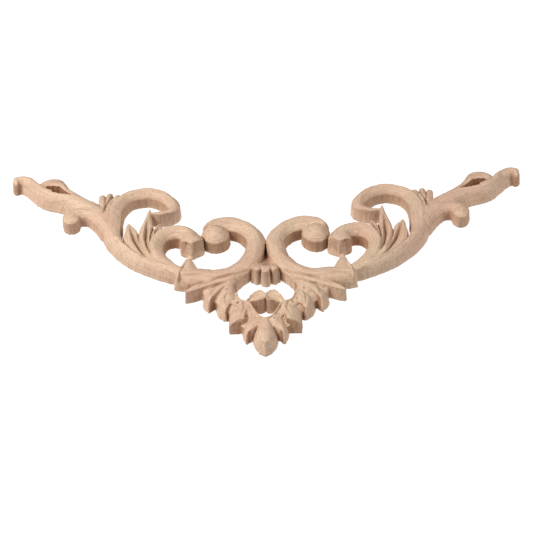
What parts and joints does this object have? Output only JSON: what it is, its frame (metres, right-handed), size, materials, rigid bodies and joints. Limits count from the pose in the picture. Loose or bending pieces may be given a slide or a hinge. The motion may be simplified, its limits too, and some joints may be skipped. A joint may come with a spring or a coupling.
{
  "type": "corner onlay",
  "caption": "carved wooden corner onlay: a symmetric spray of scrolls and leaves, pierced, with a flat back to be fixed to a panel or frame",
  "frame": {"origin": "on the flat back, on the mirror line, under the ribs that tie the two middle scrolls, 64 mm from the apex of the corner", "axes": "+Z out of the carved face, +Y from the apex towards the open side of the corner, +X to the right tip with the apex towards the viewer"},
  "size_m": [0.2826, 0.1472, 0.0112],
  "materials": {
    "wood": "raw sanded"
  },
  "bodies": {
    "root": {"carved_onlay": "wood"}
  },
  "joints": []
}
